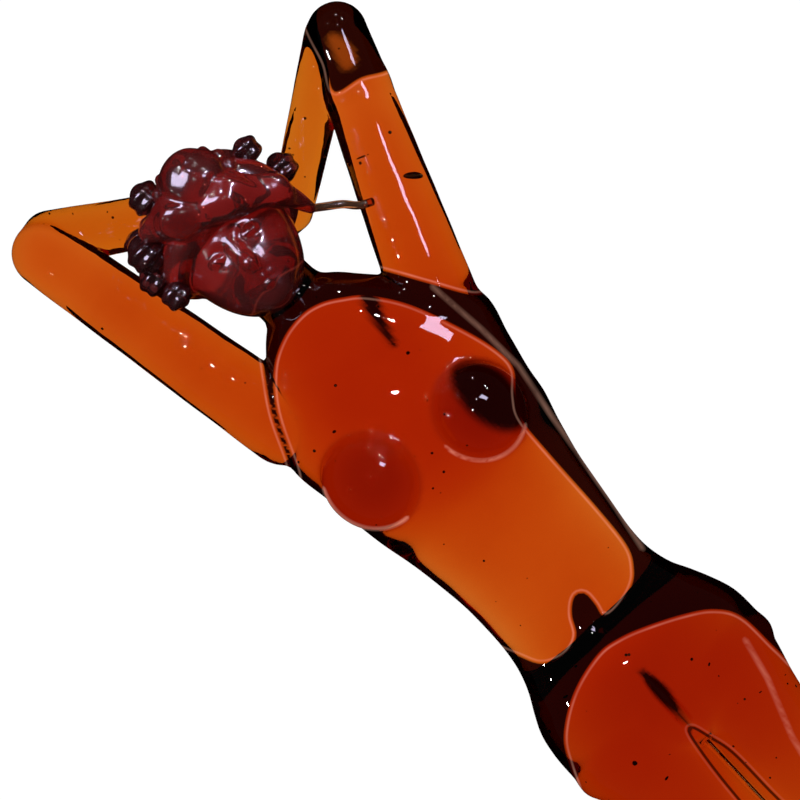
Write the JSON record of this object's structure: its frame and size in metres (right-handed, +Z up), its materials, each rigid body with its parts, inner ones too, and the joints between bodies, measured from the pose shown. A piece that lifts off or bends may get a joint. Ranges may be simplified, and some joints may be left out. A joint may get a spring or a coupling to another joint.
{
  "type": "glass dip pen",
  "caption": "Lampworked amber glass dip pen lying on its back: a standing figure with raised arms and plum glass hair is the handle, and a fluted glass nib is at its feet.",
  "frame": {"origin": "middle of the pen's outline, on the table that it lies on", "axes": "+X along the pen towards the nib; +Z up, out of the figure's front; +Y to the figure's left side, which completes the right-handed frame"},
  "size_m": [0.1878, 0.0426, 0.0203],
  "materials": {
    "amber_glass": "polished",
    "plum_glass": "polished",
    "hair_glass": "polished"
  },
  "bodies": {
    "root": {"torso": "amber_glass", "pelvis": "amber_glass", "bust_left": "amber_glass", "bust_right": "amber_glass", "leg_left": "amber_glass", "leg_right": "amber_glass", "neck": "amber_glass", "head": "plum_glass", "hair_cap": "hair_glass", "hair_bun": "hair_glass", "bun_braid": "hair_glass", "hair_roll": "hair_glass", "lock_left": "hair_glass", "lock_right": "hair_glass", "curl_right_1": "hair_glass", "curl_right_2": "hair_glass", "curl_right_3": "hair_glass", "curl_right_4": "hair_glass", "curl_right_5": "hair_glass", "curl_left_1": "hair_glass", "curl_left_2": "hair_glass", "upper_arm_left": "amber_glass", "upper_arm_right": "amber_glass", "forearm_left": "amber_glass", "forearm_right": "amber_glass", "hand_left": "amber_glass", "hand_right": "amber_glass", "arm_bridge": "amber_glass", "knop": "amber_glass", "collar": "amber_glass", "grip": "amber_glass", "nib": "amber_glass"}
  },
  "joints": []
}
